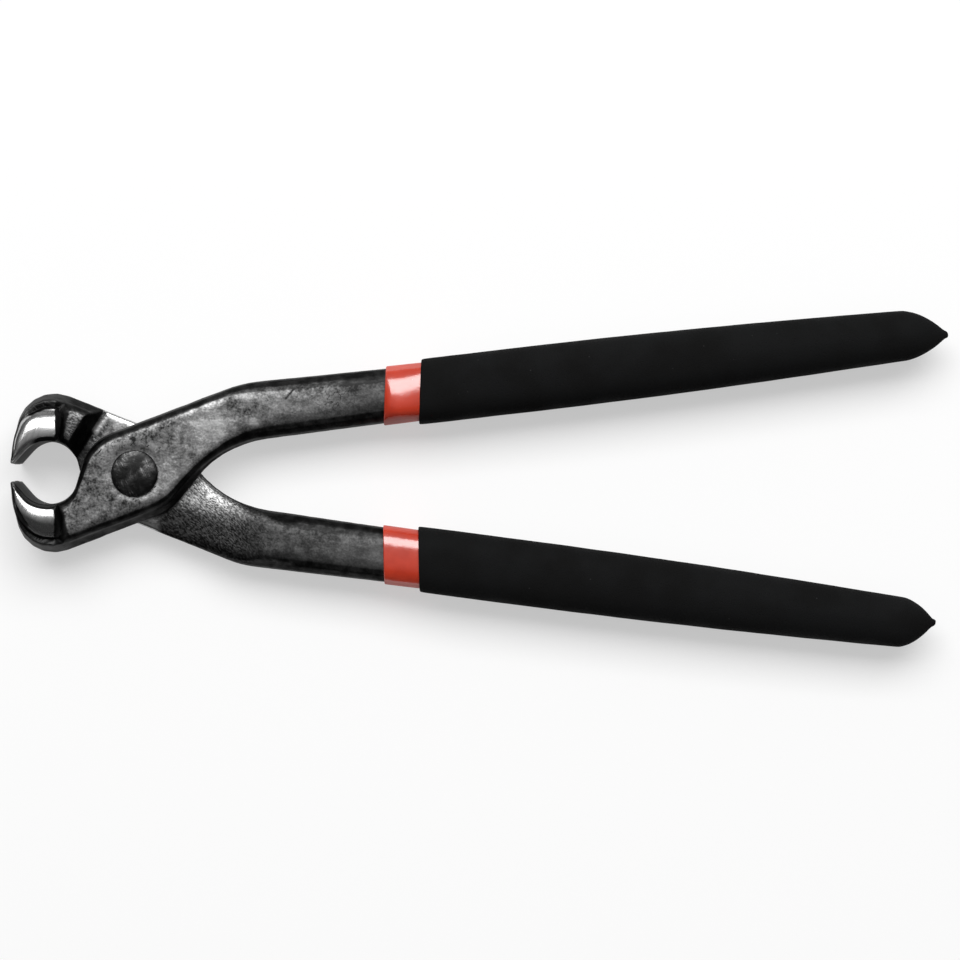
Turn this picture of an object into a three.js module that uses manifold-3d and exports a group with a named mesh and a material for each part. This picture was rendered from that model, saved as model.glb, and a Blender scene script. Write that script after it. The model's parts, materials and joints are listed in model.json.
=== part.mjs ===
// Concreters nippers: end-cutting pincers for tying and nipping wire.
// Two identical drop-forged levers cross at a lap joint and turn on one rivet. Each handle carries a
// thin red vinyl dip and a thicker black dip over it, whose last drop has set as a pointed tip.
// Millimetres, +Z up: the tool lies on its side with the pivot axis along Z and the handles towards +X.
// The origin is the middle of the tool's footprint on the bench.

import * as THREE from "three";
import { mergeVertices } from "three/addons/utils/BufferGeometryUtils.js";
import Module from "manifold-3d";

const wasm = await Module();
wasm.setup();

const rad = THREE.MathUtils.degToRad;
const lerp = THREE.MathUtils.lerp;

// Driving dimensions of one lever. The lever lies closed, pivot at the origin, jaw at -X and below the
// middle line, handle at +X and above it. Angles are directions of travel from the jaw to the handle.
const REST_OPENING = 7.2; // degrees between the levers as they lie
const EDGE_X = -32.3; // cutting edge, ahead of the pivot
const EDGE_LAND = 0.8; // blunt width of the cutting edge
const EDGE_GAP = 0.1; // left between the two edges when the jaws are shut
const JAW_WIDTH = 21; // length of the cutting edge, across the tool
const JAW_NOSE_ANGLE = -96;
const JAW_FRONT_ANGLE = -83;
const JAW_FRONT_REACH = 33.6; // front face of the jaw, from the pivot
const JAW_NOSE_RADIUS = 20;
const JAW_HEEL_RADIUS = 10;
const JAW_STEP_X = -20.4; // middle of the step from the wide jaw down to the joint
const JAW_STEP_RUN = 3.2;
const JAW_BOWL_ROUND = { across: 1.6, down: 1.3 }; // how far the ground side rolls off at each edge
const JAW_BACK_ROUND = { across: 6, down: 3.3 };
const TIP_FACE_ANGLE = -51.6;
const BOWL_RADIUS = 7.4; // the round opening behind the cutting edges
const JOINT_WIDTH = 25;
const JOINT_THICKNESS = 13; // both levers together
const JOINT_ROUND = { across: 3, down: 2.4 };
const CHEEK_ANGLE = 72.4; // edge of the joint that faces the bowl
const CHEEK_REACH = 14.7;
const CHEEK_RADIUS = 13;
const NECK_ANGLE = 17.6;
const NECK_BEND_RADIUS = 35;
const SHOULDER_ANGLE = 48.4;
const SHOULDER_REACH = 13.4;
const SHOULDER_RADIUS = 13;
const CROTCH_RADIUS = 29; // hollow between the shoulder and the handle
const HANDLE_ROOT = new THREE.Vector2(44.9, 15.6);
const HANDLE_ANGLE = 3.44;
const HANDLE_LENGTH = 162;
const HANDLE_ROOT_WIDTH = 15.1;
const HANDLE_END_WIDTH = 10.2;
const HANDLE_ROOT_THICKNESS = 10;
const HANDLE_END_THICKNESS = 8.4;
const HANDLE_ROUND_SHARE = { across: 1.1, down: 0.8 }; // of the half thickness
const HANDLE_END_CHAMFER = 1.2;

// Lean of the forged sides from the parting line at mid thickness, in degrees
const JAW_BACK_DRAFT = 20;
const UNDERSIDE_DRAFT = 26; // of the joint
const CHEEK_DRAFT = 8;
const BOWL_DRAFT = 1; // the bowl is cut nearly square
const HANDLE_DRAFT = 5;
const TRIM_LAND = 1.6; // upright band along the parting line where the flash was trimmed off

// Most that the trimmed band, a rounded corner and a lean may take of a thin section
const LAND_LIMIT = 0.3; // of the half thickness
const ROUND_LIMIT = 0.9; // of the half width
const LEAN_LIMIT = 0.25; // of the half width

// Lap joint and rivet
const LAP_GAP = 0.3;
const RIM_CLEARANCE = 1.2; // from the other lever's cheek to the jaw end of the seat
const RIM_REACH = CHEEK_REACH + RIM_CLEARANCE; // flat of the seat, from the pivot towards the jaw
const RIM_RUN = 3.4; // slope from the flat up to the full thickness
const RIM_FILLET = 1;
const RIM_ANGLE = 208.4;
const RAMP_CLEARANCE = 0.77; // from the other lever's crotch when shut to the handle end of the seat
const RAMP_REACH = SHOULDER_REACH / Math.sin(rad(SHOULDER_ANGLE)) + RAMP_CLEARANCE;
const RAMP_RUN = 28; // easy slope from the flat up to the full thickness of the handle
const RAMP_OVERRUN = 0.5; // carried on past the face of the handle, so that it ends in a low edge
const RAMP_ANGLE = 24.4;
const RIVET_SHANK_RADIUS = 4.2;
const RIVET_BORE_GAP = 0.25;
const RIVET_HEAD_RADIUS = 6.2;
const RIVET_HEAD_HEIGHT = 1.5;
const RIVET_HEAD_RIM = 0.35;
const RIVET_CROWN_FLAT = 1.2;
const RIVET_SEAT_GAP = 0.2;
const SPOT_FACE_RADIUS = 7.1;
const SPOT_FACE_DEPTH = 0.2;

// Dipped grips, measured along the handle from its root
const DIP_GAP = 0.2;
const MOUTH_SLANT = 8.7; // degrees, because the handles were dipped hanging a little askew
const RED_START = 22.2;
const RED_THICKNESS = 0.45;
const RED_LIP = 0.5;
const BLACK_START = 31.6;
const BLACK_MOUTH_THICKNESS = 0.75;
const BLACK_SWELL = 0.75; // extra thickness half way along
const BLACK_LIP = 0.6;
const TIP_SHOULDER = 2; // the taper to the tip starts this far before the steel ends
const TIP_FULLNESS = 0.9; // below 1 the taper stays full for longer
const TIP_NOSE_RADIUS = 1.1; // the drop's round end
const TIP_DROOP = 1.1; // the drop hangs towards the other handle
const UPPER_TIP_LENGTH = 13;
const LOWER_TIP_LENGTH = 10.2;

// The lip of a dip: how far along it and up from the inside its section has come
const LIP_PROFILE = [
  { along: 0, up: 0.4 },
  { along: 0.3, up: 0.8 },
  { along: 1, up: 1 },
];

// Facets
const CORNER_POINTS = 5;
const ROUND_SEGMENTS = 48;
const FILLET_STEPS = 3;
const RAMP_STEPS = 8;
const CROWN_STEPS = 5;
const GRIP_STEPS = 8;
const TIP_STEPS = 8;
const NOSE_STEPS = 3;

const MATERIALS = {
  forged: new THREE.MeshStandardMaterial({ color: 0x2b2b2d, roughness: 0.5, metalness: 0.9 }),
  rivet: new THREE.MeshStandardMaterial({ color: 0x222224, roughness: 0.45, metalness: 0.9 }),
  red: new THREE.MeshStandardMaterial({ color: 0xc5361f, roughness: 0.25, metalness: 0 }),
  black: new THREE.MeshStandardMaterial({ color: 0x151516, roughness: 0.85, metalness: 0 }),
};

// Plane geometry of the rails

// A straight line at a direction, passing the pivot at a distance to its left (+) or right (-).
function lineAt(degrees, reach) {
  const d = new THREE.Vector2(Math.cos(rad(degrees)), Math.sin(rad(degrees)));
  return { p: new THREE.Vector2(-d.y, d.x).multiplyScalar(reach), d };
}

function lineThrough(p, degrees) {
  return { p, d: lineAt(degrees, 0).d };
}

function meet(a, b) {
  const t = b.p.clone().sub(a.p).cross(b.d) / a.d.cross(b.d);
  return a.p.clone().addScaledVector(a.d, t);
}

// The arc of a radius that joins two lines, as an ellipse curve.
function filletArc(a, b, radius) {
  const turn = Math.sign(a.d.cross(b.d));
  const half = Math.acos(THREE.MathUtils.clamp(a.d.dot(b.d), -1, 1)) / 2;
  const corner = meet(a, b);
  const start = corner.clone().addScaledVector(a.d, -radius * Math.tan(half));
  const toCentre = new THREE.Vector2(-a.d.y, a.d.x).multiplyScalar(turn);
  const centre = start.clone().addScaledVector(toCentre, radius);
  const from = Math.atan2(-toCentre.y, -toCentre.x);
  return new THREE.EllipseCurve(centre.x, centre.y, radius, radius, from, from + turn * 2 * half, turn < 0);
}

// A rail is a list of straight and round stretches. Place k + f is the fraction f along stretch k.
function rail(start, lines, radii, end) {
  const arcs = radii.map((radius, k) => filletArc(lines[k], lines[k + 1], radius));
  const stretches = [];
  let from = start;
  for (const arc of arcs) {
    stretches.push(new THREE.LineCurve(from, arc.getPoint(0)), arc);
    from = arc.getPoint(1);
  }
  stretches.push(new THREE.LineCurve(from, end));
  return (place) => {
    const k = Math.min(Math.floor(place), stretches.length - 1);
    return stretches[k].getPoint(place - k);
  };
}

// Sections and lofts

// A forged section: a flat-faced bar with rounded corners whose sides lean in from the trimmed band.
// u runs across the bar from its outer to its inner edge, v is along Z. The size holds the half width a,
// the half thickness h, and the rounding and draft of the inner and the outer edge.
function sectionRing(centre, across, { a, h, inner, outer }) {
  const points = [];
  const put = (u, v) => points.push(new THREE.Vector3(centre.x + across.x * u, centre.y + across.y * u, v));
  const land = Math.min(TRIM_LAND / 2, h * LAND_LIMIT);
  const corner = (side, level, edge, from) => {
    const ru = Math.min(edge.across, a * ROUND_LIMIT);
    const rv = Math.min(edge.down, h - land);
    const lean = Math.min(Math.tan(rad(edge.draft)) * (h - rv - land), a * LEAN_LIMIT);
    for (let k = 0; k < CORNER_POINTS; k++) {
      const angle = from + (Math.PI / 2) * (k / (CORNER_POINTS - 1));
      put(side * (a - lean - ru) + ru * Math.cos(angle), level * (h - rv) + rv * Math.sin(angle));
    }
  };
  put(a, -land);
  put(a, land);
  corner(1, 1, inner, 0);
  corner(-1, 1, outer, Math.PI / 2);
  put(-a, land);
  put(-a, -land);
  corner(-1, -1, outer, Math.PI);
  corner(1, -1, inner, 1.5 * Math.PI);
  return points;
}

// Skins a row of sections and closes both ends. A row that turns back inside itself makes a sleeve.
function loft(rings) {
  const count = rings[0].length;
  const middle = (ring) => ring.reduce((sum, p) => sum.add(p), new THREE.Vector3()).divideScalar(count);
  const vertices = [...rings.flat(), middle(rings[0]), middle(rings.at(-1))];
  const first = vertices.length - 2;
  const faces = [];
  for (let j = 0; j < count; j++) {
    const next = (j + 1) % count;
    for (let i = 0; i + 1 < rings.length; i++) {
      const a = i * count;
      const b = a + count;
      faces.push(a + j, a + next, b + j, a + next, b + next, b + j);
    }
    const end = (rings.length - 1) * count;
    faces.push(first, next, j, first + 1, end + j, end + next);
  }
  return new THREE.BufferGeometry().setFromPoints(vertices).setIndex(faces);
}

// Booleans

function solidOf(geometry) {
  const bare = new THREE.BufferGeometry().setAttribute("position", geometry.getAttribute("position"));
  const merged = mergeVertices(bare.setIndex(geometry.index), 1e-4);
  return new wasm.Manifold(
    new wasm.Mesh({
      numProp: 3,
      vertProperties: merged.getAttribute("position").array,
      triVerts: new Uint32Array(merged.index.array),
    }),
  );
}

function geometryOf(solid) {
  const mesh = solid.getMesh();
  return new THREE.BufferGeometry()
    .setAttribute("position", new THREE.BufferAttribute(mesh.vertProperties, 3))
    .setIndex(new THREE.BufferAttribute(mesh.triVerts, 1));
}

// A solid of revolution about Z from (radius, z) points given from the top of the axis to its bottom.
function turned(points) {
  const profile = points.map(([r, z]) => new THREE.Vector2(r, z)).reverse();
  return new THREE.LatheGeometry(profile, ROUND_SEGMENTS).rotateX(Math.PI / 2);
}

// The handle, shared by the lever and the dips on it

const HANDLE_ALONG = lineThrough(HANDLE_ROOT, HANDLE_ANGLE).d;
const HANDLE_ACROSS = new THREE.Vector2(-HANDLE_ALONG.y, HANDLE_ALONG.x);

function handleSize(s, offset = 0) {
  const share = s / HANDLE_LENGTH;
  const h = lerp(HANDLE_ROOT_THICKNESS, HANDLE_END_THICKNESS, share) / 2;
  const a = lerp(HANDLE_ROOT_WIDTH, HANDLE_END_WIDTH, share) / 2 + offset;
  const edge = {
    across: h * HANDLE_ROUND_SHARE.across + offset,
    down: h * HANDLE_ROUND_SHARE.down + offset,
    draft: HANDLE_DRAFT,
  };
  return { a, h: h + offset, inner: edge, outer: edge };
}

function handleRing(s, size, droop = 0) {
  const centre = HANDLE_ROOT.clone().addScaledVector(HANDLE_ALONG, s).addScaledVector(HANDLE_ACROSS, -droop);
  return sectionRing(centre, HANDLE_ACROSS, size);
}

// One forged lever

function leverRails() {
  const half = JOINT_WIDTH / 2;
  const innerStart = new THREE.Vector2(EDGE_X + EDGE_LAND / 2, -EDGE_GAP / 2);
  const outerStart = new THREE.Vector2(EDGE_X - EDGE_LAND / 2, -EDGE_GAP / 2 - EDGE_LAND / 2);
  const rootInner = HANDLE_ROOT.clone().addScaledVector(HANDLE_ACROSS, HANDLE_ROOT_WIDTH / 2);
  const rootOuter = HANDLE_ROOT.clone().addScaledVector(HANDLE_ACROSS, -HANDLE_ROOT_WIDTH / 2);
  const taper = Math.atan((HANDLE_ROOT_WIDTH - HANDLE_END_WIDTH) / 2 / HANDLE_LENGTH) / rad(1);
  const inner = rail(
    innerStart,
    [
      lineThrough(innerStart, TIP_FACE_ANGLE),
      lineAt(CHEEK_ANGLE, CHEEK_REACH),
      lineAt(NECK_ANGLE, half),
      lineThrough(rootInner, HANDLE_ANGLE - taper),
    ],
    [BOWL_RADIUS, CHEEK_RADIUS, NECK_BEND_RADIUS],
    rootInner,
  );
  const outer = rail(
    outerStart,
    [
      lineThrough(outerStart, JAW_NOSE_ANGLE),
      lineAt(JAW_FRONT_ANGLE, -JAW_FRONT_REACH),
      lineAt(NECK_ANGLE, -half),
      lineAt(SHOULDER_ANGLE, -SHOULDER_REACH),
      lineThrough(rootOuter, HANDLE_ANGLE + taper),
    ],
    [JAW_NOSE_RADIUS, JAW_HEEL_RADIUS, SHOULDER_RADIUS, CROTCH_RADIUS],
    rootOuter,
  );
  return { inner, outer };
}

// Where sections are laid between the rails: places on the inner and the outer rail, and how many
// sections lead up to them. The bowl faces the jaw front and heel, the cheek and neck the jaw's underside.
const SECTION_BAYS = [
  { inner: 1, outer: 2, count: 4 },
  { inner: 1.52, outer: 4, count: 11 },
  { inner: 2, outer: 4.3, count: 8 },
  { inner: 3, outer: 4.7, count: 3 },
  { inner: 4, outer: 5, count: 5 },
  { inner: 4.35, outer: 6, count: 3 },
  { inner: 4.7, outer: 7, count: 3 },
  { inner: 6, outer: 8, count: 7 },
  { inner: 7, outer: 9, count: 2 },
];

const lerpEdge = (from, to, f) => ({
  across: lerp(from.across, to.across, f),
  down: lerp(from.down, to.down, f),
  draft: lerp(from.draft, to.draft, f),
});

// Half thickness and edges by how far along X a section's middle lies.
function leverSize(x, a) {
  const heel = THREE.MathUtils.smoothstep(x, EDGE_X, JAW_STEP_X - JAW_HEEL_RADIUS);
  const step = THREE.MathUtils.smoothstep(x, JAW_STEP_X - JAW_STEP_RUN / 2, JAW_STEP_X + JAW_STEP_RUN / 2);
  const neck = THREE.MathUtils.smoothstep(x, JOINT_WIDTH / 2, HANDLE_ROOT.x);
  const root = handleSize(0);
  const bowlEdge = { ...JAW_BOWL_ROUND, draft: BOWL_DRAFT };
  const cheekEdge = { ...JOINT_ROUND, draft: CHEEK_DRAFT };
  const jawBack = { ...JAW_BACK_ROUND, draft: JAW_BACK_DRAFT * heel };
  const underside = { ...JOINT_ROUND, draft: UNDERSIDE_DRAFT };
  return {
    a,
    h: lerp(lerp(JAW_WIDTH / 2, JOINT_THICKNESS / 2, step), root.h, neck),
    inner: lerpEdge(lerpEdge(bowlEdge, cheekEdge, step), root.inner, neck),
    outer: lerpEdge(lerpEdge(jawBack, underside, step), root.outer, neck),
  };
}

function leverRing(rails, innerPlace, outerPlace) {
  const from = rails.outer(outerPlace);
  const to = rails.inner(innerPlace);
  const across = to.clone().sub(from);
  const middle = from.clone().add(to).multiplyScalar(0.5);
  return sectionRing(middle, across.clone().normalize(), leverSize(middle.x, across.length() / 2));
}

function leverBlank() {
  const rails = leverRails();
  const rings = [leverRing(rails, 0, 0)];
  let last = { inner: 0, outer: 0 };
  for (const bay of SECTION_BAYS) {
    for (let k = 1; k <= bay.count; k++) {
      const f = k / bay.count;
      rings.push(leverRing(rails, lerp(last.inner, bay.inner, f), lerp(last.outer, bay.outer, f)));
    }
    last = bay;
  }
  rings.push(handleRing(RED_START, handleSize(RED_START)));
  rings.push(handleRing(HANDLE_LENGTH - HANDLE_END_CHAMFER, handleSize(HANDLE_LENGTH - HANDLE_END_CHAMFER)));
  rings.push(handleRing(HANDLE_LENGTH, handleSize(HANDLE_LENGTH, -HANDLE_END_CHAMFER)));
  return solidOf(loft(rings));
}

// The seat that the other lever turns in is cut straight across, just short of mid thickness. A cutter
// takes away the lap side of a profile that runs out from the pivot, given as distances and heights.
const LAP_LEVEL = LAP_GAP / 2;

function lapCutter(profile, degrees) {
  const start = -SPOT_FACE_RADIUS;
  const end = profile.at(-1)[0];
  const outline = [[start, LAP_LEVEL], ...profile, [end, -JAW_WIDTH], [start, -JAW_WIDTH]];
  const shape = new THREE.Shape(outline.map(([x, z]) => new THREE.Vector2(x, z)));
  const geometry = new THREE.ExtrudeGeometry(shape, { depth: JOINT_WIDTH * 2, bevelEnabled: false });
  geometry.translate(0, 0, -JOINT_WIDTH).rotateX(Math.PI / 2).rotateZ(rad(degrees));
  return solidOf(geometry);
}

// Towards the jaw the seat ends in a slope with a filleted foot.
function lapRimCutter() {
  const shelf = -JOINT_THICKNESS / 2;
  const lean = Math.atan2(RIM_RUN, LAP_LEVEL - shelf);
  const foot = RIM_REACH - RIM_FILLET * Math.tan((Math.PI / 2 - lean) / 2);
  const profile = [];
  for (let k = 0; k <= FILLET_STEPS; k++) {
    const angle = lerp(Math.PI / 2, lean, k / FILLET_STEPS);
    profile.push([foot + RIM_FILLET * Math.cos(angle), LAP_LEVEL - RIM_FILLET * (1 - Math.sin(angle))]);
  }
  return lapCutter([...profile, [RIM_REACH + RIM_RUN, shelf]], RIM_ANGLE);
}

// Towards the handle it runs out along the neck in a long ramp, hollow at its foot and round at its top.
function neckRampCutter() {
  const top = -HANDLE_ROOT_THICKNESS / 2 - RAMP_OVERRUN;
  const profile = [];
  for (let k = 0; k <= RAMP_STEPS; k++) {
    const f = k / RAMP_STEPS;
    const height = lerp(LAP_LEVEL, top, THREE.MathUtils.smoothstep(f, 0, 1));
    profile.push([lerp(RAMP_REACH, RAMP_REACH + RAMP_RUN, f), height]);
  }
  return lapCutter(profile, RAMP_ANGLE);
}

function rivetHoleCutter() {
  const bore = RIVET_SHANK_RADIUS + RIVET_BORE_GAP;
  const seat = JOINT_THICKNESS / 2 - SPOT_FACE_DEPTH;
  return solidOf(
    turned([
      [0, JAW_WIDTH],
      [SPOT_FACE_RADIUS, JAW_WIDTH],
      [SPOT_FACE_RADIUS, seat],
      [bore, seat],
      [bore, -JAW_WIDTH],
      [0, -JAW_WIDTH],
    ]),
  );
}

function leverGeometry() {
  const cutters = [lapRimCutter(), neckRampCutter(), rivetHoleCutter()];
  return geometryOf(cutters.reduce((solid, cutter) => solid.subtract(cutter), leverBlank()));
}

// The rivet: a shank with a low crowned head formed on each side

function rivetHead(seat) {
  const top = seat + RIVET_HEAD_HEIGHT;
  const rim = seat + RIVET_HEAD_RIM;
  const crown = [];
  for (let k = 0; k <= CROWN_STEPS; k++) {
    const angle = (Math.PI / 2) * (k / CROWN_STEPS);
    const r = lerp(RIVET_CROWN_FLAT, RIVET_HEAD_RADIUS, Math.sin(angle));
    crown.push([r, rim + (top - rim) * Math.cos(angle)]);
  }
  return [[0, top], ...crown, [RIVET_HEAD_RADIUS, seat], [RIVET_SHANK_RADIUS, seat]];
}

function rivetGeometry() {
  const seat = JOINT_THICKNESS / 2 - SPOT_FACE_DEPTH + RIVET_SEAT_GAP;
  const head = rivetHead(seat);
  const back = head.map(([r, z]) => [r, -z]).reverse();
  return turned([...head, ...back]);
}

// The dipped grips

// A section at the mouth of a dip, which lies askew to the handle.
function mouthRing(s, size) {
  const slope = Math.tan(rad(MOUTH_SLANT));
  const centre = HANDLE_ROOT.clone().addScaledVector(HANDLE_ALONG, s);
  const across = HANDLE_ACROSS.clone().addScaledVector(HANDLE_ALONG, slope);
  return sectionRing(centre, across, size);
}

// The thin red dip: a sleeve with a rounded lip, closed over the end of the handle.
function redDipGeometry() {
  const inside = DIP_GAP;
  const outside = DIP_GAP + RED_THICKNESS;
  const end = HANDLE_LENGTH + DIP_GAP;
  const ring = (s, offset) => handleRing(s, handleSize(s, offset));
  const mouth = (s, offset) => mouthRing(s, handleSize(s, offset));
  return loft([
    ring(end, inside - HANDLE_END_CHAMFER),
    ring(HANDLE_LENGTH - HANDLE_END_CHAMFER, inside),
    mouth(RED_START, inside),
    ...LIP_PROFILE.map((lip) => mouth(RED_START + RED_LIP * lip.along, lerp(inside, outside, lip.up))),
    ring(HANDLE_LENGTH - HANDLE_END_CHAMFER, outside),
    ring(end + RED_THICKNESS, outside - HANDLE_END_CHAMFER),
  ]);
}

// The black dip over it: thickest half way along, and drawn out to a drop at the end.
function blackDipGeometry(tipLength) {
  const inside = DIP_GAP * 2 + RED_THICKNESS;
  const end = HANDLE_LENGTH + inside;
  const shoulder = HANDLE_LENGTH - TIP_SHOULDER;
  const inner = (s, offset) => handleRing(s, handleSize(s, offset));
  const skin = (s) => {
    const along = (s - BLACK_START) / (shoulder - BLACK_START);
    return inside + BLACK_MOUTH_THICKNESS + BLACK_SWELL * Math.sin(Math.PI * along);
  };
  const outer = (s) => handleRing(s, handleSize(s, skin(s)));
  const mouth = (s, share) => mouthRing(s, handleSize(s, lerp(inside, skin(s), share)));
  const rings = [
    inner(end, inside - HANDLE_END_CHAMFER),
    inner(HANDLE_LENGTH - HANDLE_END_CHAMFER, inside),
    mouth(BLACK_START, 0),
    ...LIP_PROFILE.map((lip) => mouth(BLACK_START + BLACK_LIP * lip.along, lip.up)),
  ];
  for (let k = 1; k <= GRIP_STEPS; k++) {
    rings.push(outer(lerp(BLACK_START + BLACK_LIP, shoulder, k / GRIP_STEPS)));
  }
  return loft([...rings, ...tipRings(shoulder, tipLength, handleSize(shoulder, skin(shoulder)))]);
}

// The drop at the end: the section shrinks along a quarter sine wave to a round nose.
function tipRings(shoulder, length, size) {
  const rings = [];
  const put = (s, a, h, edge) => {
    const droop = TIP_DROOP * ((s - shoulder) / length) ** 2;
    rings.push(handleRing(s, { a, h, inner: edge, outer: edge }, droop));
  };
  const taper = length - TIP_NOSE_RADIUS;
  for (let k = 1; k <= TIP_STEPS; k++) {
    const left = 1 - k / TIP_STEPS;
    const share = Math.sin((Math.PI / 2) * left ** TIP_FULLNESS);
    const shrunk = (full) => lerp(TIP_NOSE_RADIUS, full, share);
    const { across, down, draft } = size.inner;
    const edge = { across: shrunk(across), down: shrunk(down), draft: draft * left };
    put(shoulder + taper * (1 - left), shrunk(size.a), shrunk(size.h), edge);
  }
  for (let k = 1; k <= NOSE_STEPS; k++) {
    const angle = (Math.PI / 2) * (k / (NOSE_STEPS + 1));
    const radius = TIP_NOSE_RADIUS * Math.cos(angle);
    const edge = { across: radius, down: radius, draft: 0 };
    put(shoulder + taper + TIP_NOSE_RADIUS * Math.sin(angle), radius, radius, edge);
  }
  return rings;
}

// Assembly

function piece(name, geometry, material) {
  const mesh = new THREE.Mesh(geometry, material);
  mesh.name = name;
  return mesh;
}

// One half of the tool, turned open about the pivot.
function half(pieces) {
  const group = new THREE.Group().add(...pieces);
  group.rotation.z = rad(REST_OPENING / 2);
  return group;
}

const front = half([
  piece("front_lever", leverGeometry(), MATERIALS.forged),
  piece("pivot_rivet", rivetGeometry(), MATERIALS.rivet),
  piece("upper_red_dip", redDipGeometry(), MATERIALS.red),
  piece("upper_black_grip", blackDipGeometry(UPPER_TIP_LENGTH), MATERIALS.black),
]);

// The other half is the same forging turned over about the tool's long axis.
const rear = new THREE.Group().add(
  half([
    piece("rear_lever", leverGeometry(), MATERIALS.forged),
    piece("lower_red_dip", redDipGeometry(), MATERIALS.red),
    piece("lower_black_grip", blackDipGeometry(LOWER_TIP_LENGTH), MATERIALS.black),
  ]),
);
rear.rotation.x = Math.PI;

const nippers = new THREE.Group().add(front, rear);
const box = new THREE.Box3().setFromObject(nippers, true);
nippers.position.set(-(box.min.x + box.max.x) / 2, -(box.min.y + box.max.y) / 2, -box.min.z);

export default new THREE.Group().add(nippers);
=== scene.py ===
"""Looks of a pair of concreters nippers: two forged levers, a headed rivet and dipped grips.

Lengths are in metres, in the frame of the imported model: +X runs along the tool towards the grips and
+Z along the pivot, out of the front lever.
"""

import json
import math

import bpy
import numpy as np
from mathutils.kdtree import KDTree
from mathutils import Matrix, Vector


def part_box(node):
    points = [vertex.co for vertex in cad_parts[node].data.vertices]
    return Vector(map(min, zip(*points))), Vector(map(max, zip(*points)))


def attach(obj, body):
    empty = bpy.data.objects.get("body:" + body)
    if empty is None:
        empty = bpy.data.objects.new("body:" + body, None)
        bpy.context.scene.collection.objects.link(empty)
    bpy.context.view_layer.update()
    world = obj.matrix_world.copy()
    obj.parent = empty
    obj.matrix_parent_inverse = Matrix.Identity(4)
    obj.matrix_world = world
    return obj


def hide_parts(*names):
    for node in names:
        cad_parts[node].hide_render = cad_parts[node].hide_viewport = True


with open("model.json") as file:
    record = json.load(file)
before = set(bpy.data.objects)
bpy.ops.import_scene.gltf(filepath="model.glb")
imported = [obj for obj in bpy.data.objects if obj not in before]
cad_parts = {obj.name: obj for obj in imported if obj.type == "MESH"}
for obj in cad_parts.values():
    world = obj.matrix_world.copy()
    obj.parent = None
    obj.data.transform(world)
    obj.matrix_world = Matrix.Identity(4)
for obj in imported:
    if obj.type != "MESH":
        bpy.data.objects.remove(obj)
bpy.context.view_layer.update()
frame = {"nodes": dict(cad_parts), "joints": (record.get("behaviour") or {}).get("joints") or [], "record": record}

MM = 0.001
PIVOT_JOINT = frame["joints"][0]
PIVOT = np.array(PIVOT_JOINT["pos_m"])
REST_TURN = math.radians(-PIVOT_JOINT["range_deg"][0] / 2)  # each lever's turn from shut
OPENINGS = {o["name"]: np.array(o["box_m"]) for o in frame["record"]["physics"]["openings"]}
BOWL_CENTRE = OPENINGS["jaw_bowl"].mean(axis=0)
JAW_LEVEL = (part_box("front_lever")[1].z - PIVOT[2]) / MM  # of the jaw's sides, from the middle of the joint
MERGE_DISTANCE = 0.001 * MM  # points of a piece that are nearer to each other than this are one

# Skin of the forgings
SKIN = 0.3 * MM  # size of the mesh's faces
HIDDEN_SHARE = 0.06  # faces kept on the part of the handle inside the grip
SLEEVE_OVERLAP = 4 * MM  # bare handle carried on into the red coat before it counts as hidden
HAMMERED = 0.14 * MM  # waviness left by the dies
HAMMERED_SPACING = 4 * MM
SCALE_ROUGHNESS = 0.05 * MM  # finer unevenness of the scale
SCALE_SPACING = 1.1 * MM

# Rounds of smoothing
SKIN_ROUNDS = 8
FORGED_ROUNDS = 14
EDGE_ROUNDS = 12
GROUND_ROUNDS = 30
SLEEVE_ROUNDS = 6

# Ground sides of the jaws, in millimetres and slopes, with places measured from the middle of the bowl
OUTSIDE_RIDGE = 12.2  # the outside is ground to a blunt ridge
OUTSIDE_RIDGE_WIDTH = 0.6
OUTSIDE_SLOPES = (0.2, 0.27)  # towards the bowl and away from it
LAP_CROWN = 8.8  # the lap side is rolled off from this distance below the pivot
LAP_CROWN_GROWTH = (0.008, 0.037)  # fall for each square millimetre, towards the pivot and away from it
GROUND_REACH = 6.6  # beyond this distance from the ridge or crown it falls no further
DEEPEST_FALL = 1.8
JAW_BACK_STRETCH = 1.1 * MM  # how far the ground sides run on over the drafted back of the jaw
GROUND_FLATNESS = 0.89  # the wheel has reached what lies at least as flat as this
GROUND_FADE = 0.07
LAP_TIP_EASING = 0.34  # how much less flat the sides may lie at the tips
OUTSIDE_TIP_EASING = 0.25
BOWL_RIM = 8.6  # the wheel keeps off a rim round the bowl, which is broader behind the tips
BOWL_RIM_GROWTH = 0.8
BOWL_RIM_FADE = 0.5

# Zones along a lever, in millimetres from the pivot towards the grip: where each begins, then where it
# is full
GROUND_BACK = (-21.2, -22)
LAP_TIP = (-28, -30)
LAP_RIM_BACK = (-28, -25)
OUTSIDE_TIP = (-30.5, -32)
OUTSIDE_RIM_BACK = (-31, -28)
TIP_FACE = (-22, -24)
TIP_EDGE = (-26, -28)
JAW_BACK = (-25, -21.5)
JAW_BACK_END = -17
SHELF = (-10, -14)
NECK = (4, 8)
NECK_END = (44, 24)
NECK_EDGE = (12, 20)
NECK_EDGE_END = (46, 36)
SEAT_EDGE = (-12, -9)
SEAT_EDGE_END = (18, 12)
EDGES = (-12, 46)

# Depths below the level of the jaw's sides, in millimetres: where each zone begins, then where it is full
GROUND_DEPTH = (2.2, 1.4)
FALL_DEPTH = (4, 2.5)
# the jaw's back, painted black as shade in the step down to the joint
SHADED_BACK_DEPTH = (4, 3)
TIP_EDGE_DEPTH = (3, 2)
STRETCH_DEPTH = (4, 1)

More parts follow.
